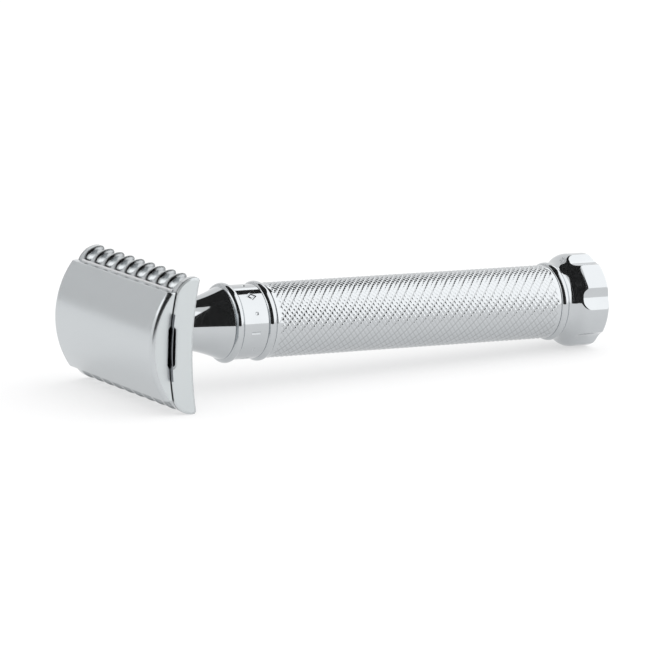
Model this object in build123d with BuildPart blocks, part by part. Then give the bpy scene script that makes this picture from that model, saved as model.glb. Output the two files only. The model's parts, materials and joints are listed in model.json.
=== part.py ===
from build123d import *
from math import asin, atan2, cos, degrees, hypot, radians, sin, sqrt, tan
import os

os.makedirs("parts", exist_ok=True)

# Double-edge open-comb safety razor, lying on the lower edge of its comb and on its end knob.
# All sizes are in millimetres. Stations are distances along the handle's axis from the crown of
# the cap towards the end knob. Heights are distances from that axis.

# Blade: the standard double-edge strip, bent between cap and comb
blade_length = 43.0
blade_width = 22.0
blade_thickness = 0.1
blade_edge_length = 37.5
blade_tab_width = 13.0
blade_bevel = 0.35
blade_slot_width = 2.0
blade_stud_hole = 3.1
blade_pin_hole = 1.75
blade_fit = 0.03                    # play on each face of the clamped blade
blade_reveal = 0.4                  # how far each edge of the flat strip reaches past the cap

# Cap
head_length = 41.0
cap_depth = 4.02                    # crown to the middle of the underside
cap_crown_radius = 17.6
cap_seat_radius = 54.0
cap_end_round = 1.0
cap_edge_round = 0.4

# Channel that runs through the head from end to end, half in the cap and half in the comb
channel_width = 8.6
channel_floor_width = 7.0
cap_channel_depth = 0.5
comb_channel_depth = 0.95

# Comb plate
comb_height = 26.6
comb_seat_width = 21.1
comb_thickness = 4.82               # at the middle, before the channel is cut
comb_wing_radius = 4.4
comb_sweep = 1.25                   # how far the underside curves back at the tips
comb_tip_round = 0.65
comb_end_width = 2.07               # solid comb past the last gap at each end
gap_count = 9
gap_width = 2.7
gap_setback = 0.1                   # from the seat's edge to the root of each gap
tooth_round = 0.65
boss_radius = 5.2
boss_height = 0.5

# Stud and guide pins that stand in the cap
stud_radius = 2.45
stud_seat = 2.2                     # length held in the cap
stud_reach = 8.0                    # length that stands past the boss into the handle
stud_tip = 0.5
pin_radius = 1.5
pin_spacing = 26.0
pin_seat = 1.5
pin_recess = 0.6                    # how far the tips stay inside the comb plate
pin_tip = 0.4
stud_play = 0.2
pin_play = 0.1

# Neck, with its threaded bush
seat_gap = 0.02                     # between the boss and the neck when the head is tight
foot_radius = 4.9
foot_length = 1.2
throat_radius = 4.25
throat_length = 1.3
trumpet_length = 13.85
trumpet_end_radius = 7.2
spigot_radius = 5.6
spigot_length = 20.0
bush_radius = 3.4
bush_length = 10.1
bush_recess = 0.4
thread_play = 0.05

# Turned rings and sleeves that are stacked on the neck's spigot
band_radius = 7.38
band_length = 5.5
bead_radius = 7.92
bead_length = 1.8
grip_radius = 7.45
grip_length = 66.0

# End knob
knob_front_radius = 7.3
knob_radius = 9.45
knob_cone_angle = 45.0
knob_cone_radius = 8.9              # where the cone gives way to the round shoulder
knob_cove = 1.05                    # hollow turn from the knob's front into its cone
knob_shoulder_length = 4.3          # from the knob's front to the full radius
knob_length = 8.5
knob_end_round = 0.8
flute_count = 6
flute_depth = 0.8
flute_cutter_radius = 4.15
flute_turn = 10.5                   # first flute above the horizontal, on the near side
flute_edge_round = 0.3
hub_length = 12.0

# Tie rod that pulls the knob, the grip and the rings against the neck
rod_radius = 2.0
rod_depth_in_neck = 19.0
rod_depth_in_knob = 3.5
nut_flats = 7.0
nut_thickness = 3.2
washer_radius = 3.8
washer_thickness = 0.8


def arc_station(crest, radius, height):
    """Station of a point at a height on an arc whose crest is on the axis."""
    return crest + radius - sqrt(radius**2 - height**2)


# The comb's seat follows the bend of the blade, and each wing curls back from the seat's edge.
cap_width = blade_width - 2 * blade_reveal
seat_depth = blade_thickness + 2 * blade_fit
comb_front = cap_depth + seat_depth
comb_seat_radius = cap_seat_radius - seat_depth
comb_seat_edge = arc_station(comb_front, comb_seat_radius, comb_seat_width / 2)
wing_height = comb_height / 2 - comb_wing_radius
wing_station = comb_seat_edge + sqrt(comb_wing_radius**2 - (comb_seat_width / 2 - wing_height) ** 2)

# Stations along the axis
comb_back = comb_front + comb_thickness
tip_station = comb_back + comb_sweep
boss_face = comb_back + boss_height
neck_front = boss_face + seat_gap
trumpet_start = neck_front + foot_length + throat_length
neck_end = trumpet_start + trumpet_length
band_front = neck_end + bead_length
middle_bead_front = band_front + band_length
grip_front = middle_bead_front + bead_length
grip_end = grip_front + grip_length
knob_front = grip_end + bead_length
knob_end = knob_front + knob_length
spigot_end = neck_end + spigot_length
hub_front = knob_front - hub_length

# The floor touches the lower wing of the comb and the round rear edge of the knob, so the
# handle slopes down to the knob by the angle of that common tangent.
rim_station = knob_end - knob_end_round
rim_height = knob_radius - knob_end_round
run = rim_station - wing_station
drop = rim_height - wing_height
slope = asin((comb_wing_radius - knob_end_round) / hypot(run, drop)) - atan2(drop, run)
axis_height = comb_wing_radius + wing_height * cos(slope) + wing_station * sin(slope)

# The origin is on the floor under the middle of the whole razor.
foremost = cap_crown_radius * (cos(slope) - 1)
rearmost = rim_station * cos(slope) + rim_height * sin(slope) + knob_end_round
crown_point = Vector(-(foremost + rearmost) / 2, 0, axis_height)
axis_direction = Vector(cos(slope), 0, -sin(slope))
handle_axis = Axis(crown_point, axis_direction)

# Side view of the razor: x along the handle, y up from its axis
side = Plane(crown_point, x_dir=axis_direction, z_dir=(0, -1, 0))


def station(distance):
    """Plane square to the handle: x along the head, y up, normal towards the knob."""
    return Plane(crown_point + axis_direction * distance, x_dir=(0, 1, 0), z_dir=axis_direction)


def channel():
    """Draws the outline of the whole channel in the side view."""
    half, floor_half = channel_width / 2, channel_floor_width / 2
    Polyline(
        (cap_channel_floor, floor_half),
        (cap_channel_mouth, half),
        (comb_channel_mouth, half),
        (comb_channel_floor, floor_half),
        (comb_channel_floor, -floor_half),
        (comb_channel_mouth, -half),
        (cap_channel_mouth, -half),
        (cap_channel_floor, -floor_half),
        close=True,
    )


def sleeve(start, end, outer, inner):
    """Draws the half section of a sleeve with square ends in the side view."""
    Polyline((start, inner), (start, outer), (end, outer), (end, inner), close=True)


def bead(start, front_radius):
    """Draws the half section of a ring with one round bead in the side view."""
    end = start + bead_length
    ThreePointArc((start, front_radius), ((start + end) / 2, bead_radius), (end, band_radius))
    Polyline((end, band_radius), (end, spigot_radius), (start, spigot_radius), (start, front_radius))


# Outline points that the cap, the blade and the comb share
crown_edge = arc_station(0, cap_crown_radius, cap_width / 2)
cap_seat_edge = arc_station(cap_depth, cap_seat_radius, cap_width / 2)
cap_channel_mouth = arc_station(cap_depth, cap_seat_radius, channel_width / 2)
cap_channel_floor = cap_channel_mouth - cap_channel_depth
comb_channel_mouth = arc_station(comb_front, comb_seat_radius, channel_width / 2)
comb_channel_floor = comb_channel_mouth + comb_channel_depth
tip_height = wing_height + sqrt(comb_wing_radius**2 - (tip_station - wing_station) ** 2)

# Cap: an arched bar with a seat for the blade, its half of the channel and three blind holes
with BuildPart() as cap:
    with BuildSketch(side):
        with BuildLine():
            ThreePointArc((crown_edge, cap_width / 2), (0, 0), (crown_edge, -cap_width / 2))
            Line((crown_edge, -cap_width / 2), (cap_seat_edge, -cap_width / 2))
            ThreePointArc((cap_seat_edge, -cap_width / 2), (cap_depth, 0), (cap_seat_edge, cap_width / 2))
            Line((cap_seat_edge, cap_width / 2), (crown_edge, cap_width / 2))
        make_face()
    extrude(amount=head_length / 2, both=True)
    end_arcs = cap.edges().filter_by(GeomType.CIRCLE)
    fillet(end_arcs.group_by(handle_axis)[0], cap_end_round)
    fillet(cap.edges().filter_by(Axis.Y).group_by(handle_axis)[0], cap_edge_round)
    with BuildSketch(side):
        with BuildLine():
            channel()
        make_face()
    extrude(amount=head_length / 2, both=True, mode=Mode.SUBTRACT)
    with BuildSketch(station(cap_channel_floor)):
        Circle(stud_radius)
    extrude(amount=-stud_seat, mode=Mode.SUBTRACT)
    with BuildSketch(station(cap_channel_floor)):
        with GridLocations(pin_spacing, 0, 2, 1):
            Circle(pin_radius)
    extrude(amount=-pin_seat, mode=Mode.SUBTRACT)
cap.part.label = "cap"
export_step(cap.part, "parts/cap.step")

# Threaded stud: drawn as the cylinder over its thread's crests
with BuildPart() as cap_stud:
    with BuildSketch(station(cap_channel_floor - stud_seat)):
        Circle(stud_radius)
    extrude(amount=stud_seat + boss_face + stud_reach - cap_channel_floor)
    chamfer(cap_stud.edges().group_by(handle_axis)[-1], stud_tip)
cap_stud.part.label = "cap_stud"
export_step(cap_stud.part, "parts/cap_stud.step")

# Guide pins: they keep the blade square to the comb
with BuildPart() as guide_pins:
    with BuildSketch(station(cap_channel_floor - pin_seat)):
        with GridLocations(pin_spacing, 0, 2, 1):
            Circle(pin_radius)
    extrude(amount=pin_seat + comb_back - pin_recess - cap_channel_floor)
    chamfer(guide_pins.edges().group_by(handle_axis)[-1], pin_tip)
guide_pins.part.label = "guide_pins"
export_step(guide_pins.part, "parts/guide_pins.step")

# Blade: bent along the cap's seat, with both long edges ground from both faces
bend_centre = cap_depth + cap_seat_radius
front_face_radius = cap_seat_radius - blade_fit
middle_radius = front_face_radius - blade_thickness / 2
back_face_radius = front_face_radius - blade_thickness
corner_length = (blade_length - blade_edge_length) / 2
corner_width = (blade_width - blade_tab_width) / 2
edge_angle = degrees(blade_width / 2 / middle_radius)
grind_angle = degrees((blade_width / 2 - blade_bevel) / middle_radius)


def on_bend(radius, angle):
    """Point in the side view on one of the blade's faces, at an angle from the axis."""
    return (bend_centre - radius * cos(radians(angle)), radius * sin(radians(angle)))


with BuildPart() as blade:
    with BuildSketch(side):
        with BuildLine():
            ThreePointArc(
                on_bend(front_face_radius, -grind_angle),
                on_bend(front_face_radius, 0),
                on_bend(front_face_radius, grind_angle),
            )
            Polyline(
                on_bend(front_face_radius, grind_angle),
                on_bend(middle_radius, edge_angle),
                on_bend(back_face_radius, grind_angle),
            )
            ThreePointArc(
                on_bend(back_face_radius, grind_angle),
                on_bend(back_face_radius, 0),
                on_bend(back_face_radius, -grind_angle),
            )
            Polyline(
                on_bend(back_face_radius, -grind_angle),
                on_bend(middle_radius, -edge_angle),
                on_bend(front_face_radius, -grind_angle),
            )
        make_face()
    extrude(amount=blade_length / 2, both=True)
    with BuildSketch(station(0)):
        with GridLocations(blade_length - corner_length, blade_width - corner_width, 2, 2):
            Rectangle(corner_length, corner_width)
        SlotCenterToCenter(pin_spacing, blade_slot_width)
        Circle(blade_stud_hole)
        with GridLocations(pin_spacing, 0, 2, 1):
            Circle(blade_pin_hole)
    extrude(amount=comb_back, mode=Mode.SUBTRACT)
blade.part.label = "blade"
export_step(blade.part, "parts/blade.step")

# Comb plate: a bar whose wings curl forward past the cap, slotted into teeth along both edges
gap_pitch = (head_length - 2 * comb_end_width - gap_width) / (gap_count - 1)
gap_root = comb_seat_width / 2 + gap_setback
gap_length = comb_height / 2 + gap_width - gap_root
gap_spacing = comb_height / 2 + gap_width + gap_root
tooth_edge = min(tooth_round, 0.42 * (gap_pitch - gap_width))

with BuildPart() as comb_plate:
    with BuildSketch(side) as outline:
        with BuildLine():
            ThreePointArc((comb_seat_edge, -comb_seat_width / 2), (comb_front, 0),
                          (comb_seat_edge, comb_seat_width / 2))
            RadiusArc((comb_seat_edge, comb_seat_width / 2), (tip_station, tip_height), comb_wing_radius)
            ThreePointArc((tip_station, tip_height), (comb_back, 0), (tip_station, -tip_height))
            RadiusArc((tip_station, -tip_height), (comb_seat_edge, -comb_seat_width / 2), comb_wing_radius)
        make_face()
        fillet(outline.vertices().group_by(Axis.X)[-1], comb_tip_round)
    extrude(amount=head_length / 2, both=True)
    with BuildSketch(side):
        with BuildLine():
            channel()
        make_face()
    extrude(amount=head_length / 2, both=True, mode=Mode.SUBTRACT)
    with BuildSketch(station(boss_face)):
        Circle(boss_radius)
    extrude(amount=-2 * boss_height)
    with BuildSketch(station(0)):
        Circle(stud_radius + stud_play)
        with GridLocations(pin_spacing, 0, 2, 1):
            Circle(pin_radius + pin_play)
        with GridLocations(gap_pitch, gap_spacing, gap_count, 2):
            SlotOverall(gap_length, gap_width, rotation=90)
    extrude(amount=tip_station + boss_height, mode=Mode.SUBTRACT)
    tooth_flanks = comb_plate.faces().filter_by(Axis.Y).sort_by(Axis.Y)[1:-1]
    fillet(tooth_flanks.edges().filter_by(GeomType.CIRCLE), tooth_edge)
comb_plate.part.label = "comb_plate"
export_step(comb_plate.part, "parts/comb_plate.step")

# Neck: a trumpet with a foot that presses on the boss and a spigot that carries the rings
trumpet_rise = trumpet_end_radius - throat_radius
trumpet_arc = (trumpet_length**2 + trumpet_rise**2) / (2 * trumpet_rise)
bush_front = neck_front + bush_recess
bush_end = bush_front + bush_length
rod_front = spigot_end - rod_depth_in_neck

with BuildPart() as neck:
    with BuildSketch(side):
        with BuildLine():
            Polyline(
                (neck_front, bush_radius),
                (neck_front, foot_radius),
                (neck_front + foot_length, foot_radius),
                (neck_front + foot_length, throat_radius),
                (trumpet_start, throat_radius),
            )
            RadiusArc((trumpet_start, throat_radius), (neck_end, trumpet_end_radius), -trumpet_arc)
            Polyline(
                (neck_end, trumpet_end_radius),
                (neck_end, spigot_radius),
                (spigot_end, spigot_radius),
                (spigot_end, rod_radius),
                (rod_front, rod_radius),
                (rod_front, 0),
                (bush_end, 0),
                (bush_end, bush_radius),
                (neck_front, bush_radius),
            )
        make_face()
    revolve(axis=handle_axis)
neck.part.label = "neck"
export_step(neck.part, "parts/neck.step")

# Threaded bush in the neck: its bore is drawn as the cylinder over the stud's thread
with BuildPart() as thread_bush:
    with BuildSketch(side):
        with BuildLine():
            sleeve(bush_front, bush_end, bush_radius, stud_radius + thread_play)
        make_face()
    revolve(axis=handle_axis)
thread_bush.part.label = "thread_bush"
export_step(thread_bush.part, "parts/thread_bush.step")

# Front bead ring: its front takes up the trumpet's edge
with BuildPart() as front_bead_ring:
    with BuildSketch(side):
        with BuildLine():
            bead(neck_end, trumpet_end_radius)
        make_face()
    revolve(axis=handle_axis)
front_bead_ring.part.label = "front_bead_ring"
export_step(front_bead_ring.part, "parts/front_bead_ring.step")

# Engraved band: a plain sleeve between the two front beads
with BuildPart() as engraved_band:
    with BuildSketch(side):
        with BuildLine():
            sleeve(band_front, middle_bead_front, band_radius, spigot_radius)
        make_face()
    revolve(axis=handle_axis)
engraved_band.part.label = "engraved_band"
export_step(engraved_band.part, "parts/engraved_band.step")

# Middle and rear bead rings: the same ring at both ends of the grip
for name, front in (("middle_bead_ring", middle_bead_front), ("rear_bead_ring", grip_end)):
    with BuildPart() as ring:
        with BuildSketch(side):
            with BuildLine():
                bead(front, band_radius)
            make_face()
        revolve(axis=handle_axis)
    ring.part.label = name
    export_step(ring.part, f"parts/{name}.step")

# Grip tube: the sleeve whose outside is knurled
with BuildPart() as grip_tube:
    with BuildSketch(side):
        with BuildLine():
            sleeve(grip_front, grip_end, grip_radius, spigot_radius)
        make_face()
    revolve(axis=handle_axis)
grip_tube.part.label = "grip_tube"
export_step(grip_tube.part, "parts/grip_tube.step")

# End knob: a cove, a cone, a round shoulder and a fluted rim, on a hub that centres the grip
cone_slant = radians(knob_cone_angle)
cone_foot = knob_front + knob_cove
cone_end = cone_foot + (knob_cone_radius - knob_front_radius) / tan(cone_slant)
cove_end = (cone_foot + knob_cove * cos(cone_slant), knob_front_radius + knob_cove * sin(cone_slant))
shoulder_end = knob_front + knob_shoulder_length

with BuildPart() as end_knob:
    with BuildSketch(side):
        with BuildLine():
            Polyline(
                (hub_front, rod_radius),
                (hub_front, spigot_radius),
                (knob_front, spigot_radius),
                (knob_front, knob_front_radius),
            )
            TangentArc((knob_front, knob_front_radius), cove_end, tangent=(1, 0))
            Line(cove_end, (cone_end, knob_cone_radius))
            TangentArc((cone_end, knob_cone_radius), (shoulder_end, knob_radius),
                       tangent=(cos(cone_slant), sin(cone_slant)))
            Line((shoulder_end, knob_radius), (rim_station, knob_radius))
            RadiusArc((rim_station, knob_radius), (knob_end, rim_height), knob_end_round)
            Polyline(
                (knob_end, rim_height),
                (knob_end, 0),
                (knob_front + rod_depth_in_knob, 0),
                (knob_front + rod_depth_in_knob, rod_radius),
                (hub_front, rod_radius),
            )
        make_face()
    revolve(axis=handle_axis)
    with BuildSketch(station(knob_front)):
        with PolarLocations(knob_radius - flute_depth + flute_cutter_radius, flute_count,
                            start_angle=180 - flute_turn):
            Circle(flute_cutter_radius)
    extrude(amount=knob_length, mode=Mode.SUBTRACT)
    fillet(end_knob.edges(Select.LAST).filter_by(handle_axis), flute_edge_round)
end_knob.part.label = "end_knob"
export_step(end_knob.part, "parts/end_knob.step")

# Tie rod: threaded into the neck's spigot and into the knob's hub
with BuildPart() as tie_rod:
    with BuildSketch(station(rod_front)):
        Circle(rod_radius)
    extrude(amount=knob_front + rod_depth_in_knob - rod_front)
tie_rod.part.label = "tie_rod"
export_step(tie_rod.part, "parts/tie_rod.step")

# Lock washer and nut that hold the rod against the spigot
with BuildPart() as lock_washer:
    with BuildSketch(station(spigot_end)):
        Circle(washer_radius)
        Circle(rod_radius, mode=Mode.SUBTRACT)
    extrude(amount=washer_thickness)
lock_washer.part.label = "lock_washer"
export_step(lock_washer.part, "parts/lock_washer.step")

with BuildPart() as rod_nut:
    with BuildSketch(station(spigot_end + washer_thickness)):
        RegularPolygon(nut_flats / 2, 6, major_radius=False)
        Circle(rod_radius, mode=Mode.SUBTRACT)
    extrude(amount=nut_thickness)
rod_nut.part.label = "rod_nut"
export_step(rod_nut.part, "parts/rod_nut.step")
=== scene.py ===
import json
import math

import bmesh
import bpy
import numpy as np
from mathutils import Matrix, Vector


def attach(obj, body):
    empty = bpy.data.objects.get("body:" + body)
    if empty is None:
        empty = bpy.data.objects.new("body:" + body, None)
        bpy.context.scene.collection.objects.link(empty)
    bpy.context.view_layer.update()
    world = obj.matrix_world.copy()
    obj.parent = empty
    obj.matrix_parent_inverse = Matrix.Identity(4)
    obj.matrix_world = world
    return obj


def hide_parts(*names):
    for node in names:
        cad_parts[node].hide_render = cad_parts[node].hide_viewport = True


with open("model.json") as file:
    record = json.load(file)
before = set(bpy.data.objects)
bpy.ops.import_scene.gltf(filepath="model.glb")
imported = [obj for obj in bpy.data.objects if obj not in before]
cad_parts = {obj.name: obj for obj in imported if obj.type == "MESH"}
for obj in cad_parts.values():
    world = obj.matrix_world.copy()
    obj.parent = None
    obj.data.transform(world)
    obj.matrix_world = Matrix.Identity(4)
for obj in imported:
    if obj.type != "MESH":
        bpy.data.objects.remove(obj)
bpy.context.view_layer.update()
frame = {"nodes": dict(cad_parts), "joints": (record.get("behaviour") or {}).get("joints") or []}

mm = 0.001

# stations run along the handle from the crown of the cap
handleTurn = next(j for j in frame["joints"] if j["name"] == "handle_turn")
axisDir = Vector(handleTurn["axis"]).normalized()
axisAcross = Vector((0, 1, 0))
axisUp = Vector((-axisDir.z, 0, axisDir.x))


def meshPoints(node):
    mesh = frame["nodes"][node].data
    flat = np.empty(len(mesh.vertices) * 3)
    mesh.vertices.foreach_get("co", flat)
    return flat.reshape(-1, 3)


def measured(node, origin, direction):  # how far each point of a node lies from the origin, that way
    return (meshPoints(node) - np.array(origin)) @ np.array(direction)


hingePoint = Vector(handleTurn["pos_m"])
crownPoint = hingePoint + axisDir * float(measured("cap", hingePoint, axisDir).min())
toRow = Matrix((axisDir, axisAcross, axisUp)).transposed().to_4x4()
toRow.translation = crownPoint


def span(node):  # first and last station of a node
    stations = measured(node, crownPoint, axisDir)
    return float(stations.min()), float(stations.max())


def reach(node):  # greatest distance of a node from the axis
    return float(np.hypot(measured(node, crownPoint, axisAcross), measured(node, crownPoint, axisUp)).max())


def halfWidth(node, direction):  # greatest distance of a node from the crown, either way
    return float(np.abs(measured(node, crownPoint, direction)).max())


# building meshes along the handle
def addPiece(name, points, faces, body, finish, sharpAngle=32, replaced=()):
    mesh = bpy.data.meshes.new(name)
    mesh.from_pydata(np.asarray(points, float).tolist(), [], faces)
    mesh.transform(toRow)
    work = bmesh.new()
    work.from_mesh(mesh)
    bmesh.ops.remove_doubles(work, verts=work.verts, dist=1e-7)
    bmesh.ops.recalc_face_normals(work, faces=work.faces)
    work.to_mesh(mesh)
    work.free()
    mesh.shade_smooth()
    mesh.set_sharp_from_angle(angle=math.radians(sharpAngle))
    piece = bpy.data.objects.new(name, mesh)
    bpy.context.scene.collection.objects.link(piece)
    mesh.materials.append(finish)
    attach(piece, body)
    if replaced:
        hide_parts(*replaced)
    return piece


def rounded(corners, steps=5):
    # half-section outline: each corner is (station, radius, rounding), and the outline closes on itself
    points = []
    count = len(corners)
    for i, (x, y, rounding) in enumerate(corners):
        here = Vector((x, y))
        if rounding <= 0:
            points.append(here)
            continue
        back = (Vector(corners[i - 1][:2]) - here).normalized()
        ahead = (Vector(corners[(i + 1) % count][:2]) - here).normalized()
        half = back.angle(ahead) / 2
        middle = (back + ahead).normalized()
        centre = here + middle * (rounding / math.sin(half))
        start = here + back * (rounding / math.tan(half)) - centre
        end = here + ahead * (rounding / math.tan(half)) - centre
        turn = start.angle_signed(end)
        for k in range(steps + 1):
            points.append(centre + Matrix.Rotation(-turn * k / steps, 2) @ start)
    return points


def arc(centreX, centreY, radius, start, end, steps):
    # points on an arc, angles in degrees from the +station direction
    angles = np.radians(np.linspace(start, end, steps + 1))
    return [(centreX + radius * math.cos(a), centreY + radius * math.sin(a), 0) for a in angles]


def turnedGrid(outline, segments):
    # spins a closed half section round the axis
    stations = np.array([p[0] for p in outline])
    radii = np.array([p[1] for p in outline])
    angles = np.arange(segments) * 2 * math.pi / segments
    points = np.empty((len(outline), segments, 3))
    points[..., 0] = stations[:, None]
    points[..., 1] = radii[:, None] * np.cos(angles)[None, :]
    points[..., 2] = radii[:, None] * np.sin(angles)[None, :]
    return points, angles


def gridFaces(rows, columns, closedRows=True):
    faces = []
    for i in range(rows if closedRows else rows - 1):
        a, b = i * columns, ((i + 1) % rows) * columns
        for k in range(columns):
            m = (k + 1) % columns
            faces.append((a + k, a + m, b + m, b + k))
    return faces


def turnedPiece(name, outline, body, finish, replaced, segments=256):
    points = turnedGrid(outline, segments)[0]
    faces = gridFaces(len(outline), segments)
    return addPiece(name, points.reshape(-1, 3), faces, body, finish, replaced=replaced)


# shader maths and finishes
class Wire:  # a node socket that adds its own Math nodes
    def __init__(self, finish, socket):
        self.finish = finish
        self.socket = socket

    def maths(self, operation, left, right):
        return self.finish.node("ShaderNodeMath", {"operation": operation}, {0: left, 1: right})

    def __add__(self, other):
        return self.maths("ADD", self, other)

    def __radd__(self, other):
        return self.maths("ADD", other, self)

    def __sub__(self, other):
        return self.maths("SUBTRACT", self, other)

    def __rsub__(self, other):
        return self.maths("SUBTRACT", other, self)

    def __mul__(self, other):
        return self.maths("MULTIPLY", self, other)

    def __rmul__(self, other):
        return self.maths("MULTIPLY", other, self)

    def __abs__(self):
        return self.finish.node("ShaderNodeMath", {"operation": "ABSOLUTE"}, {0: self})


class Finish:  # one node material
    def __init__(self, name):
        self.material = bpy.data.materials.new(name)
        self.material.use_nodes = True
        self.tree = self.material.node_tree
        self.tree.nodes.clear()

    def node(self, kind, settings=None, inputs=None, output=0):
        made = self.tree.nodes.new(kind)
        for key, value in (settings or {}).items():
            setattr(made, key, value)
        for key, value in (inputs or {}).items():
            socket = made.inputs[key]
            if isinstance(value, Wire):
                self.tree.links.new(value.socket, socket)
            else:
                socket.default_value = value
        return Wire(self, made.outputs[output]) if made.outputs else made

    def surface(self, **inputs):
        names = {key.replace("_", " "): value for key, value in inputs.items()}
        shader = self.node("ShaderNodeBsdfPrincipled", None, names)
        self.node("ShaderNodeOutputMaterial", None, {"Surface": shader})
        return self.material

    def place(self):
        return self.node("ShaderNodeTexCoord", output="Object")

    def awayFrom(self, vector, point):
        return self.node("ShaderNodeVectorMath", {"operation": "SUBTRACT"}, {0: vector, 1: tuple(point)})

    def dot(self, vector, other):
        other = other if isinstance(other, Wire) else tuple(other)
        return self.node("ShaderNodeVectorMath", {"operation": "DOT_PRODUCT"}, {0: vector, 1: other}, output="Value")

    def hypot(self, a, b):
        return self.node("ShaderNodeMath", {"operation": "SQRT"}, {0: a * a + b * b})

    def noise(self, vector, scale, detail=3.0, roughness=0.5):
        return self.node("ShaderNodeTexNoise", None,
                         {"Vector": vector, "Scale": scale, "Detail": detail, "Roughness": roughness})

    def stretched(self, vector, factors):
        return self.node("ShaderNodeVectorMath", {"operation": "MULTIPLY"}, {0: vector, 1: factors})

    def mixed(self, factor, first, second):
        return self.node("ShaderNodeMix", {"data_type": "RGBA"},
                         {"Factor": factor, "A": first, "B": second}, output=2)

    def bump(self, height, distance, under=None):
        inputs = {"Height": height, "Distance": distance}
        if under:
            inputs["Normal"] = under
        return self.node("ShaderNodeBump", None, inputs)

    def ramp(self, value, start, end):
        # 0 up to start, 1 from end on
        return self.node("ShaderNodeMapRange", None, {"Value": value, "From Min": start, "From Max": end})


chrome = {"colour": (0.545, 0.565, 0.58, 1), "worn": (0.50, 0.52, 0.535, 1), "groove": (0.33, 0.34, 0.345, 1),
          "roughness": 0.035, "knurledRoughness": 0.07}


def mirrorChrome(name):
    # mirror polish with the faintest turning lines and smudges
    finish = Finish(name)
    place = finish.place()
    station = finish.dot(place, axisDir)
    lines = finish.noise(finish.node("ShaderNodeCombineXYZ", None, {"X": station * 9000.0}), 1.0, 2.0, 0.6)
    cloud = finish.noise(place, 180.0, 3.0, 0.55)
    smudge = finish.noise(place, 900.0, 4.0, 0.6)
    colour = finish.mixed(cloud, chrome["colour"], chrome["worn"])
    roughness = chrome["roughness"] + 0.03 * smudge + 0.015 * lines
    height = lines * 0.5 + smudge * 0.5
    normal = finish.bump(height, 0.0006 * mm)
    return finish.surface(Base_Color=colour, Metallic=1.0, Roughness=roughness, Normal=normal)


def knurledChrome(name, crest, depth):
    # bright on the crests, darker and duller towards the bottom of the grooves
    finish = Finish(name)
    place = finish.place()
    away = finish.awayFrom(place, crownPoint)
    radius = finish.hypot(finish.dot(away, axisAcross), finish.dot(away, axisUp))
    groove = finish.ramp(radius, crest - 0.35 * depth, crest - depth)
    smudge = finish.noise(place, 1400.0, 3.0, 0.6)
    colour = finish.mixed(groove, chrome["colour"], chrome["groove"])
    roughness = chrome["knurledRoughness"] + 0.05 * smudge + 0.10 * groove
    normal = finish.bump(smudge, 0.002 * mm)
    return finish.surface(Base_Color=colour, Metallic=1.0, Roughness=roughness, Normal=normal)


# the darkest colour is painted shade, used for a line along the seam between cap and comb and for a painted dark
# reflection along the edges; rim sets how strong that edge darkening is
head = {"colour": (0.57, 0.595, 0.61, 1), "shade": (0.54, 0.565, 0.58, 1), "ends": (0.65, 0.685, 0.695, 1),
        "paintedShade": (0.04, 0.042, 0.045, 1), "seamWidth": 0.38 * mm, "groundRoughness": 0.40,
        "cap": {"polish": 0.19, "edge": 0.2 * mm, "rim": 0.3},
        "comb": {"polish": 0.05, "edge": 0.9 * mm, "rim": 0.95}}


def seamLine(finish, place, width):
    # 1 along the bend of the blade, where the cap's and the comb's edges meet, and 0 away from it: where the painted
    # shade line goes on the two flat ends
    stations, heights = measured("blade", crownPoint, axisDir), np.abs(measured("blade", crownPoint, axisUp))
    middle = float(stations.min()) + 0.05 * mm  # half the blade's thickness
    sag = float(stations[heights.argmax()]) - middle
    radius = (float(heights.max()) ** 2 + sag ** 2) / (2 * sag)
    away = finish.awayFrom(place, crownPoint + axisDir * (middle + radius))
    up = finish.dot(away, axisUp)
    off = finish.hypot(finish.dot(away, axisDir), up) - radius
    line = 1.0 - finish.ramp(abs(off), width * 0.35, width * 0.65)
    capReach = halfWidth("cap", axisUp)
    return line * (1.0 - finish.ramp(abs(up), capReach - 0.1 * mm, capReach))


def headChrome(name, endFace, part):
    # polished over the faces, ground dull on the two flat ends, with softened edges; the colour carries a painted
    # dark reflection along the edges and a painted shade line along the seam
    finish = Finish(name)
    place = finish.place()
    edges = finish.node("ShaderNodeBevel", None, {"Radius": part["edge"]})
    flat = finish.ramp(abs(finish.dot(place, axisAcross)), endFace - 0.03 * mm, endFace - 0.01 * mm)
    end = flat * finish.ramp(abs(finish.dot(edges, axisAcross)), 0.95, 0.995)
    # painted shade line along the seam between cap and comb, on the two flat ends
    paintedShade = flat * seamLine(finish, place, head["seamWidth"])
    # painted dark reflection on the softened edges, from how far the bevelled normal turns away from the surface's
    # own
    rounding = 1.0 - finish.dot(edges, finish.node("ShaderNodeNewGeometry", output="Normal"))
    rim = finish.ramp(rounding, 0.004, 0.04) * (1.0 - flat) * part["rim"]
    streaks = finish.noise(finish.stretched(place, (2600.0, 60.0, 2600.0)), 1.0, 4.0, 0.65)
    broad = finish.noise(finish.stretched(place, (300.0, 30.0, 300.0)), 1.0, 2.0, 0.5)
    grain = finish.noise(place, 4200.0, 3.0, 0.6)
    colour = finish.mixed(end, finish.mixed(broad, head["colour"], head["shade"]), head["ends"])
    # the colour is darkened with painted shade along the edges and along the seam
    colour = finish.mixed(paintedShade, finish.mixed(rim, colour, head["paintedShade"]), head["paintedShade"])
    roughness = part["polish"] + 0.03 * streaks + end * (head["groundRoughness"] - part["polish"])
    height = streaks * 0.3 + grain * end
    normal = finish.bump(height, 0.003 * mm, edges)
    return finish.surface(Base_Color=colour, Metallic=1.0, Roughness=roughness, Normal=normal)


inside = {"brass": (0.72, 0.56, 0.30, 1), "brassShade": (0.62, 0.47, 0.24, 1), "brassRoughness": 0.25,
          "steel": (0.48, 0.48, 0.49, 1), "steelShade": (0.36, 0.36, 0.37, 1), "steelRoughness": 0.3}


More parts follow.
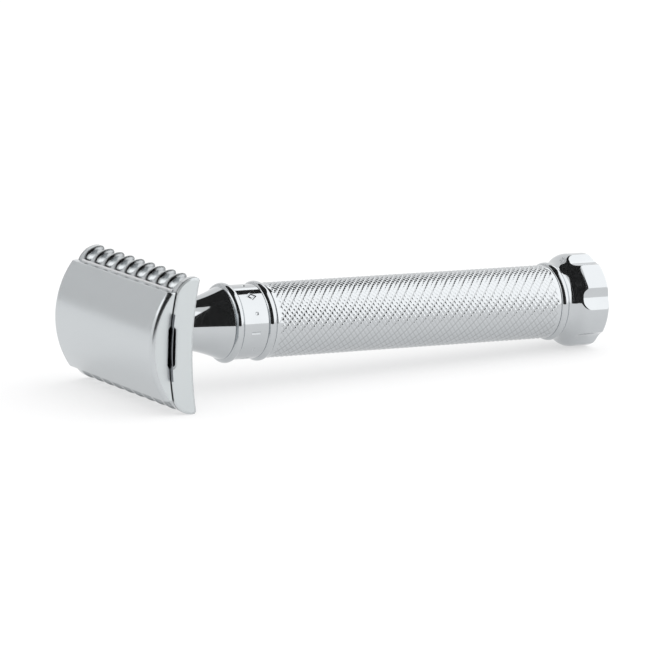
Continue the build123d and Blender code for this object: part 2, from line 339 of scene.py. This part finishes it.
def plainMetal(name, light, dark, roughness):
    # machined metal with fine streaks
    finish = Finish(name)
    streaks = finish.noise(finish.stretched(finish.place(), (1800.0, 40.0, 1800.0)), 1.0, 4.0, 0.65)
    colour = finish.mixed(streaks, light, dark)
    normal = finish.bump(streaks, 0.004 * mm)
    return finish.surface(Base_Color=colour, Metallic=1.0, Roughness=roughness + 0.1 * streaks, Normal=normal)


strip = {"flat": (0.30, 0.31, 0.33, 1), "stained": (0.22, 0.23, 0.25, 1), "ground": (0.80, 0.81, 0.82, 1),
         "groundWidth": 0.45 * mm, "roughness": 0.18}


def bladeSteel(name):
    # dark hardened strip with a bright ground band along both cutting edges
    finish = Finish(name)
    place = finish.place()
    height = abs(finish.dot(finish.awayFrom(place, crownPoint), axisUp))
    start = halfWidth("blade", axisUp) - strip["groundWidth"]
    ground = finish.ramp(height, start, start + 0.02 * mm)
    streaks = finish.noise(finish.stretched(place, (2600.0, 40.0, 2600.0)), 1.0, 4.0, 0.65)
    scratches = finish.noise(finish.stretched(place, (900.0, 9000.0, 900.0)), 1.0, 2.0, 0.5)
    colour = finish.mixed(ground, finish.mixed(streaks, strip["flat"], strip["stained"]), strip["ground"])
    roughness = strip["roughness"] + 0.1 * streaks + 0.2 * ground
    normal = finish.bump(streaks + scratches * ground, 0.003 * mm)
    return finish.surface(Base_Color=colour, Metallic=1.0, Roughness=roughness, Normal=normal)


# each groove family: half its width as a share of the pitch, and its share of the full depth
knurl = {"depth": 0.15 * mm, "pitch": 1.066 * mm, "starts": 36, "fineness": 12, "margin": 0.55 * mm,
         "fade": 0.5 * mm, "endRound": 0.1 * mm, "coarse": (0.13, 0.92), "fine": (0.32, 0.50), "cross": (0.38, 0.66)}

polished = mirrorChrome("polishedChrome")
headEnd = halfWidth("cap", axisAcross)
capChrome = headChrome("capChrome", headEnd, head["cap"])
combChrome = headChrome("combChrome", headEnd, head["comb"])
stripSteel = bladeSteel("bladeSteel")
brass = plainMetal("turnedBrass", inside["brass"], inside["brassShade"], inside["brassRoughness"])
steel = plainMetal("machinedSteel", inside["steel"], inside["steelShade"], inside["steelRoughness"])
knurled = knurledChrome("knurledChrome", reach("grip_tube"), knurl["depth"])
print("finishes made")


# neck and rings
neck = {"footRadius": 4.9 * mm, "footLength": 1.2 * mm, "throatRadius": 4.25 * mm, "throatLength": 1.3 * mm,
        "throatEdge": 0.05 * mm, "endRadius": reach("neck"), "edge": 0.08 * mm, "spigotRadius": 5.6 * mm,
        "spigotEdge": 0.3 * mm, "boreRadius": 3.4 * mm, "boreLength": 10.5 * mm, "rodRadius": 2.0 * mm}
beads = {"radius": reach("middle_bead_ring"), "edge": 0.07 * mm}

neckFront, spigotEnd = span("neck")
neckEnd, bandFront = span("front_bead_ring")
middleFront, gripFront = span("middle_bead_ring")
gripEnd, knobFront = span("rear_bead_ring")
knobEnd = span("end_knob")[1]
bandRadius = reach("engraved_band")
gripRadius = reach("grip_tube")


def angleOf(vector):
    return math.degrees(math.atan2(vector.y, vector.x))


def neckPiece():
    trumpetStart = neckFront + neck["footLength"] + neck["throatLength"]
    length = neckEnd - trumpetStart
    rise = neck["endRadius"] - neck["throatRadius"]
    radius = (length ** 2 + rise ** 2) / (2 * rise)
    slant = math.degrees(math.asin(length / radius))
    outline = [(neckFront, neck["boreRadius"], 0),
               (neckFront, neck["footRadius"], neck["edge"]),
               (neckFront + neck["footLength"], neck["footRadius"], neck["edge"]),
               (neckFront + neck["footLength"], neck["throatRadius"], neck["throatEdge"])]
    outline += arc(trumpetStart, neck["throatRadius"] + radius, radius, -90, slant - 90, 60)[:-1]
    outline += [(neckEnd, neck["endRadius"], neck["edge"]),
                (neckEnd, neck["spigotRadius"], 0),
                (spigotEnd, neck["spigotRadius"], neck["spigotEdge"]),
                (spigotEnd, neck["rodRadius"], 0),
                (neckFront + neck["boreLength"], neck["rodRadius"], 0),
                (neckFront + neck["boreLength"], neck["boreRadius"], 0)]
    turnedPiece("neck.trumpet", rounded(outline), "handle", polished, ["neck"])


def beadRing(name, start, end, frontRadius, node):
    # the circle through the front edge, the crest and the back edge
    a, b, c = Vector((start, frontRadius)), Vector(((start + end) / 2, beads["radius"])), Vector((end, bandRadius))
    turn = 2 * (a.x * (b.y - c.y) + b.x * (c.y - a.y) + c.x * (a.y - b.y))
    centre = Vector(((a.dot(a) * (b.y - c.y) + b.dot(b) * (c.y - a.y) + c.dot(c) * (a.y - b.y)) / turn,
                     (a.dot(a) * (c.x - b.x) + b.dot(b) * (a.x - c.x) + c.dot(c) * (b.x - a.x)) / turn))
    radius = (b - centre).length
    inset = math.degrees(beads["edge"] / radius)
    outline = [(start, neck["spigotRadius"], 0), (start, frontRadius - beads["edge"], 0)]
    outline += arc(centre.x, centre.y, radius, angleOf(a - centre) - inset, angleOf(c - centre) + inset, 44)
    outline += [(end, bandRadius - beads["edge"], 0), (end, neck["spigotRadius"], 0)]
    turnedPiece(name, rounded(outline), "handle", polished, [node])


neckPiece()
beadRing("front_bead.ring", neckEnd, bandFront, neck["endRadius"], "front_bead_ring")
beadRing("middle_bead.ring", middleFront, gripFront, bandRadius, "middle_bead_ring")
beadRing("rear_bead.ring", gripEnd, knobFront, bandRadius, "rear_bead_ring")
print("neck and beads made")


# engraved band: plain bars, dots and lozenges sunk into the metal
band = {"depth": 0.16 * mm, "marks": 12, "barLength": 2.0 * mm, "barWidth": 0.34 * mm, "dotRadius": 0.30 * mm,
        "dotShift": 0.2 * mm, "lozengeLength": 1.7 * mm, "lozengeWidth": 1.3 * mm, "lineWidth": 0.30 * mm,
        "softness": 0.16 * mm, "edge": 0.10 * mm, "turn": 8.0, "rows": 80, "columns": 1152}


def sunk(distance, softness):
    # 1 inside a mark, falling to 0 over a soft edge
    inside = np.clip(0.5 - distance / softness, 0, 1)
    return inside * inside * (3 - 2 * inside)


def engravedBand():
    rows, columns, edge = band["rows"], band["columns"], band["edge"]
    stations = np.concatenate(([bandFront], np.linspace(bandFront + edge, middleFront - edge, rows), [middleFront]))
    angles = np.arange(columns) * 2 * math.pi / columns
    radii = np.full((rows + 2, columns), bandRadius)
    radii[[0, -1]] -= edge
    x = stations[:, None] - (bandFront + middleFront) / 2
    pitch = 2 * math.pi / band["marks"]
    turned = angles + math.radians(band["turn"])
    place = np.round(turned / pitch)
    y = ((turned - place * pitch) * bandRadius)[None, :]
    kind = (place.astype(int) % 4)[None, :]
    bar = np.maximum(np.abs(x) - band["barLength"] / 2, np.abs(y) - band["barWidth"] / 2)
    dot = np.hypot(x - band["dotShift"], y) - band["dotRadius"]
    slant = np.abs(x) / band["lozengeLength"] * 2 + np.abs(y) / band["lozengeWidth"] * 2 - 1
    lozenge = np.abs(slant) * band["lozengeWidth"] / 2.5 - band["lineWidth"] / 2
    distance = np.where(kind == 0, bar, np.where(kind == 2, lozenge, dot))
    radii[1:-1] -= (band["depth"] * sunk(distance, band["softness"]))[1:-1]
    points = np.empty((rows + 3, columns, 3))
    points[:-1, :, 0] = stations[:, None]
    points[:-1, :, 1] = -radii * np.cos(angles)
    points[:-1, :, 2] = radii * np.sin(angles)
    points[-1, :, 0] = middleFront
    points[-1, :, 1] = -neck["spigotRadius"] * np.cos(angles)
    points[-1, :, 2] = neck["spigotRadius"] * np.sin(angles)
    inner = points[-1].copy()
    inner[:, 0] = bandFront
    points = np.concatenate((points, inner[None]))
    faces = gridFaces(rows + 4, columns)
    addPiece("engraved_band.sleeve", points.reshape(-1, 3), faces, "handle", polished,
             sharpAngle=40, replaced=["engraved_band"])


engravedBand()
print("band engraved")


# grip: two families of helical grooves, on a grid whose edges follow the grooves
def grooves(phase, family):
    # the family's own depth at the bottom of each groove, 0 on the land between two
    width, depth = family
    away = np.abs(phase - np.round(phase))
    return np.clip(1 - away / width, 0, 1) * depth


def knurledGrip():
    fineness, starts = knurl["fineness"], knurl["starts"]
    rows = int(round((gripEnd - gripFront) / knurl["pitch"] * fineness))
    columns = starts * fineness
    i, j = np.meshgrid(np.arange(rows + 1), np.arange(columns), indexing="ij")
    along = gripFront + (gripEnd - gripFront) * i / rows
    angle = 2 * math.pi * j / columns
    rising = (i - j) / fineness
    falling = (i + j) / fineness
    cut = np.maximum(grooves(rising / 2, knurl["coarse"]), grooves(rising, knurl["fine"]))
    cut = np.maximum(cut, grooves(falling, knurl["cross"]))
    fromEnd = np.minimum(along - gripFront, gripEnd - along)
    fade = np.clip((fromEnd - knurl["margin"]) / knurl["fade"], 0, 1)
    radius = gripRadius - knurl["depth"] * cut * fade
    radius = radius - np.clip(knurl["endRound"] - fromEnd, 0, None)
    points = np.stack((along, -radius * np.cos(angle), radius * np.sin(angle)), -1)
    used = (i + j) % 2 == 0  # every second point, so that the faces are diamonds between them
    index = np.full(used.shape, -1)
    index[used] = np.arange(used.sum())
    faces = []
    for r in range(rows + 1):
        for c in range((r + 1) % 2, columns, 2):
            left, right = index[r, c - 1], index[r, (c + 1) % columns]
            if r == 0:
                faces.append((left, right, index[1, c]))
            elif r == rows:
                faces.append((left, index[r - 1, c], right))
            else:
                faces.append((left, index[r - 1, c], right, index[r + 1, c]))
    points = points[used]
    total = len(points)
    ends = []  # the two end faces, down to the bore
    for row in (0, rows):
        ring = index[row][index[row] >= 0]
        inner = points[ring].copy()
        inner[:, 1:] *= neck["spigotRadius"] / np.hypot(inner[:, 1], inner[:, 2])[:, None]
        ends.append((ring, total + np.arange(len(ring)), inner))
        total += len(ring)
    for ring, bore, inner in ends:
        for k in range(len(ring)):
            m = (k + 1) % len(ring)
            faces.append((ring[k], ring[m], bore[m], bore[k]))
    front, back = ends[0][1], ends[1][1]
    for k in range(len(front)):
        m = (k + 1) % len(front)
        faces.append((front[k], front[m], back[m], back[k]))
    points = np.concatenate([points] + [e[2] for e in ends])
    faces = [tuple(int(v) for v in face) for face in faces]
    addPiece("grip.knurled", points, faces, "handle", knurled, sharpAngle=180,
             replaced=["grip_tube"])


knurledGrip()
print("grip knurled")


# end knob
knob = {"frontRadius": 7.3 * mm, "radius": reach("end_knob"), "coneRadius": 8.9 * mm, "coneAngle": 45.0,
        "cove": 1.05 * mm, "shoulder": 4.3 * mm, "shoulderCurve": 2.2, "frontEdge": 0.06 * mm, "endRound": 0.8 * mm,
        "flutes": 6, "fluteDepth": 0.8 * mm, "cutter": 4.15 * mm, "fluteTurn": 10.5, "edge": 0.28 * mm,
        "bore": 2.0 * mm, "boreDepth": 3.5 * mm, "columns": 1080}


def softMin(a, b, blend):
    # the smaller of two, rounded where they cross
    overlap = np.clip(blend - np.abs(a - b), 0, None)
    return np.minimum(a, b) - overlap ** 2 / (4 * blend)


def knobOutline():
    hubFront = span("end_knob")[0]
    full = knob["radius"]
    slant = math.radians(knob["coneAngle"])
    coneFoot = knobFront + knob["cove"]
    coneEnd = coneFoot + (knob["coneRadius"] - knob["frontRadius"]) / math.tan(slant)
    coveEnd = (coneFoot + knob["cove"] * math.cos(slant), knob["frontRadius"] + knob["cove"] * math.sin(slant))
    coveRadius = knob["cove"] / math.tan(slant / 2)
    outline = [(hubFront, knob["bore"]), (hubFront, neck["spigotRadius"]), (knobFront, neck["spigotRadius"]),
               (knobFront, knob["frontRadius"] - knob["frontEdge"]),
               (knobFront + knob["frontEdge"], knob["frontRadius"])]
    for t in np.linspace(0, slant, 20)[1:]:
        outline.append((knobFront + coveRadius * math.sin(t), knob["frontRadius"] + coveRadius * (1 - math.cos(t))))
    for t in np.linspace(0, 1, 16)[1:]:
        outline.append((coveEnd[0] + t * (coneEnd - coveEnd[0]),
                        coveEnd[1] + t * (knob["coneRadius"] - coveEnd[1])))
    shoulderEnd = knobFront + knob["shoulder"]
    for t in np.linspace(0, 1, 22)[1:]:
        # a smooth turn from the cone's slope to the full radius
        x = coneEnd + t * (shoulderEnd - coneEnd)
        outline.append((x, knob["coneRadius"] + (full - knob["coneRadius"]) * (1 - (1 - t) ** knob["shoulderCurve"])))
    rim = knobEnd - knob["endRound"]
    for t in np.linspace(0, 1, 42)[1:]:
        outline.append((shoulderEnd + t * (rim - shoulderEnd), full))
    for t in np.radians(np.linspace(0, 90, 15))[1:]:
        outline.append((rim + knob["endRound"] * math.sin(t), full - knob["endRound"] * (1 - math.cos(t))))
    for t in np.linspace(1, 0, 24)[1:]:
        outline.append((knobEnd, (full - knob["endRound"]) * t))
    outline += [(knobFront + knob["boreDepth"], 0), (knobFront + knob["boreDepth"], knob["bore"])]
    return outline


def endKnob():
    outline = knobOutline()
    columns = knob["columns"]
    points, angles = turnedGrid(outline, columns)
    cutterAway = knob["radius"] - knob["fluteDepth"] + knob["cutter"]
    pitch = 2 * math.pi / knob["flutes"]
    first = math.pi + math.radians(-knob["fluteTurn"])
    offset = (angles - first + pitch / 2) % pitch - pitch / 2
    under = knob["cutter"] ** 2 - (cutterAway * np.sin(offset)) ** 2
    wall = np.where(under > 0, cutterAway * np.cos(offset) - np.sqrt(np.clip(under, 0, None)), 1.0)
    for row, (station, radius) in enumerate(outline):
        if station < knobFront or radius < knob["frontRadius"]:
            continue
        cut = softMin(np.full(columns, radius), wall, knob["edge"])
        points[row, :, 1] = cut * np.cos(angles)
        points[row, :, 2] = cut * np.sin(angles)
    faces = gridFaces(len(outline), columns)
    addPiece("end_knob.fluted", points.reshape(-1, 3), faces, "handle", polished,
             sharpAngle=50, replaced=["end_knob"])


endKnob()
print("knob made")


# stud with its real thread
thread = {"pitch": 0.8 * mm, "depth": 0.49 * mm, "plain": 3.0 * mm, "runout": 1.2 * mm, "tip": 0.5 * mm,
          "step": 0.07 * mm, "columns": 96}


def threadedStud():
    start, end = span("cap_stud")
    crest = reach("cap_stud")
    rows = int((end - start) / thread["step"])
    columns = thread["columns"]
    stations = np.linspace(start, end, rows)
    angles = np.arange(columns) * 2 * math.pi / columns
    phase = stations[:, None] / thread["pitch"] - angles[None, :] / (2 * math.pi)
    away = np.abs(phase - np.round(phase)) * 2
    cut = np.clip((1 - away) * 1.25 - 0.12, 0, 1)  # flat at root and crest
    fade = np.clip((stations - start - thread["plain"]) / thread["runout"], 0, 1)[:, None]
    radii = crest - thread["depth"] * cut * fade
    tip = np.clip(end - stations, 0, None)[:, None]
    radii = np.minimum(radii, crest - thread["tip"] + tip)
    points = np.empty((rows + 2, columns, 3))
    points[1:-1, :, 0] = stations[:, None]
    points[1:-1, :, 1] = radii * np.cos(angles)
    points[1:-1, :, 2] = radii * np.sin(angles)
    points[0] = (start, 0, 0)
    points[-1] = (end, 0, 0)
    faces = gridFaces(rows + 2, columns, closedRows=False)
    addPiece("cap_stud.threaded", points.reshape(-1, 3), faces, "cap", polished,
             sharpAngle=60, replaced=["cap_stud"])


threadedStud()
print("stud threaded")


# pieces that keep their solid's shape
def refinish(node, finish):
    mesh = frame["nodes"][node].data
    mesh.materials.clear()
    mesh.materials.append(finish)


refinish("cap", capChrome)
refinish("comb_plate", combChrome)
refinish("guide_pins", polished)
refinish("blade", stripSteel)
refinish("thread_bush", brass)
for node in ("tie_rod", "lock_washer", "rod_nut"):
    refinish(node, steel)


# stage, light and camera
stage = {"floor": 3.0, "colour": (0.93, 0.93, 0.935, 1), "glow": 0.56, "world": 1.0}
# each card's columns: azimuth from the front, lowest and highest elevation, and the ceiling's lowest only
cards = {"distance": 0.62, "zenith": 89.9, "black": 0.012, "grey": 0.62,
         "front": [(12, 0.5, 40), (9, 0.5, 50), (6, 0.5, 60), (0, 0.5, 70), (-5, 0.5, 76)],
         "ceiling": [(-5, 0.5), (-20, 0.5), (-40, 0.5), (-62, 0.5), (-66, 20), (-72, 32), (-80, 38), (-95, 42),
                     (-120, 44), (-150, 45), (-180, 48), (-195, 48), (-210, 47), (-220, 48), (-236, 47),
                     (-245, 50), (-249, 60), (-260, 66), (-270, 78), (-300, 83), (-330, 82), (-360, 80),
                     (-365, 76)],
         "back": [(-128, 4, 54), (-140, 3, 54), (-160, 2, 50), (-178, 2, 48)]}
boxes = {"distance": 0.9, "glow": 0.65,
         "right": {"azimuth": 70, "elevation": 38, "width": 2.4, "height": 1.36},
         "left": {"azimuth": -104, "elevation": 32, "width": 0.80, "height": 0.30}}


def toward(azimuth, elevation):
    # the direction at an azimuth from the front and an elevation, in degrees
    a, e = math.radians(azimuth), math.radians(elevation)
    return Vector((math.sin(a) * math.cos(e), -math.cos(a) * math.cos(e), math.sin(e)))


def whiteFloor():
    # part of the floor is plain white to the camera and in reflections, and the rest takes light and shadow
    finish = Finish("floorWhite")
    grain = finish.noise(finish.place(), 30.0, 2.0, 0.5)
    colour = finish.mixed(grain, stage["colour"], tuple(0.995 * c for c in stage["colour"][:3]) + (1,))
    matt = finish.node("ShaderNodeBsdfDiffuse", None, {"Color": colour})
    glow = finish.node("ShaderNodeEmission", None, {"Color": (1, 1, 1, 1), "Strength": 1.0})
    seen = finish.node("ShaderNodeLightPath", output="Is Camera Ray")
    mirrored = finish.node("ShaderNodeLightPath", output="Is Glossy Ray")
    through = finish.node("ShaderNodeLightPath", output="Is Transmission Ray")
    share = (seen + mirrored + through) * stage["glow"]
    mix = finish.node("ShaderNodeMixShader", None, {0: share, 1: matt, 2: glow})
    finish.node("ShaderNodeOutputMaterial", None, {"Surface": mix})
    return finish.material


def stageFloor():
    half = stage["floor"]
    mesh = bpy.data.meshes.new("floor")
    mesh.from_pydata([(-half, -half, 0), (half, -half, 0), (half, half, 0), (-half, half, 0)], [], [(0, 1, 2, 3)])
    mesh.materials.append(whiteFloor())
    floor = bpy.data.objects.new("floor", mesh)
    bpy.context.scene.collection.objects.link(floor)


def feltCard(name, columns, cloth):
    # a card on a sphere round the razor, seen only in its chrome
    points = []
    for azimuth, low, high in columns:
        for elevation in (low, high):
            points.append(tuple(toward(azimuth, elevation) * cards["distance"]))
    mesh = bpy.data.meshes.new(name)
    mesh.from_pydata(points, [], [(i, i + 2, i + 3, i + 1) for i in range(0, len(points) - 2, 2)])
    mesh.materials.append(cloth)
    card = bpy.data.objects.new(name, mesh)
    card.visible_camera = False
    card.visible_diffuse = False
    card.visible_shadow = False
    bpy.context.scene.collection.objects.link(card)


def softBox(name, box):
    direction = toward(box["azimuth"], box["elevation"])
    light = bpy.data.lights.new(name, "AREA")
    light.shape = "RECTANGLE"
    light.size, light.size_y = box["width"], box["height"]
    light.energy = boxes["glow"] * box["width"] * box["height"] * math.pi
    lamp = bpy.data.objects.new(name, light)
    lamp.location = direction * boxes["distance"]
    lamp.rotation_mode = "QUATERNION"
    lamp.rotation_quaternion = direction.to_track_quat("Z", "Y")
    lamp.visible_camera = False
    bpy.context.scene.collection.objects.link(lamp)


def felt(name, shade):
    finish = Finish(name)
    fibres = finish.noise(finish.place(), 300.0, 3.0, 0.6)
    return finish.surface(Base_Color=finish.mixed(fibres, (shade, shade, shade, 1), (shade * 1.1,) * 3 + (1,)),
                          Roughness=1.0)


blackFelt = felt("blackFelt", cards["black"])
stageFloor()
feltCard("frontCard", cards["front"], blackFelt)
feltCard("ceilingCard", [(azimuth, low, cards["zenith"]) for azimuth, low in cards["ceiling"]], blackFelt)
feltCard("backCard", cards["back"], felt("greyFelt", cards["grey"]))
softBox("rightBox", boxes["right"])
softBox("leftBox", boxes["left"])

world = bpy.data.worlds.new("studio")
bpy.context.scene.world = world
world.use_nodes = True
background = world.node_tree.nodes["Background"]
background.inputs["Color"].default_value = (1, 1, 1, 1)
background.inputs["Strength"].default_value = stage["world"]

view = {"aim": (-0.0047, 0, 0.0088), "distance": 1.032, "azimuth": -29.88, "elevation": 11.18, "lens": 283.4}
backward = toward(view["azimuth"], view["elevation"])
lens = bpy.data.cameras.new("camera")
lens.lens = view["lens"]
lens.sensor_width = 36
lens.clip_start = 0.05
camera = bpy.data.objects.new("camera", lens)
camera.location = Vector(view["aim"]) + backward * view["distance"]
camera.rotation_mode = "QUATERNION"
camera.rotation_quaternion = (-backward).to_track_quat("-Z", "Y")
bpy.context.scene.collection.objects.link(camera)
bpy.context.scene.camera = camera
bpy.context.scene.view_settings.view_transform = "Standard"
print("stage set")
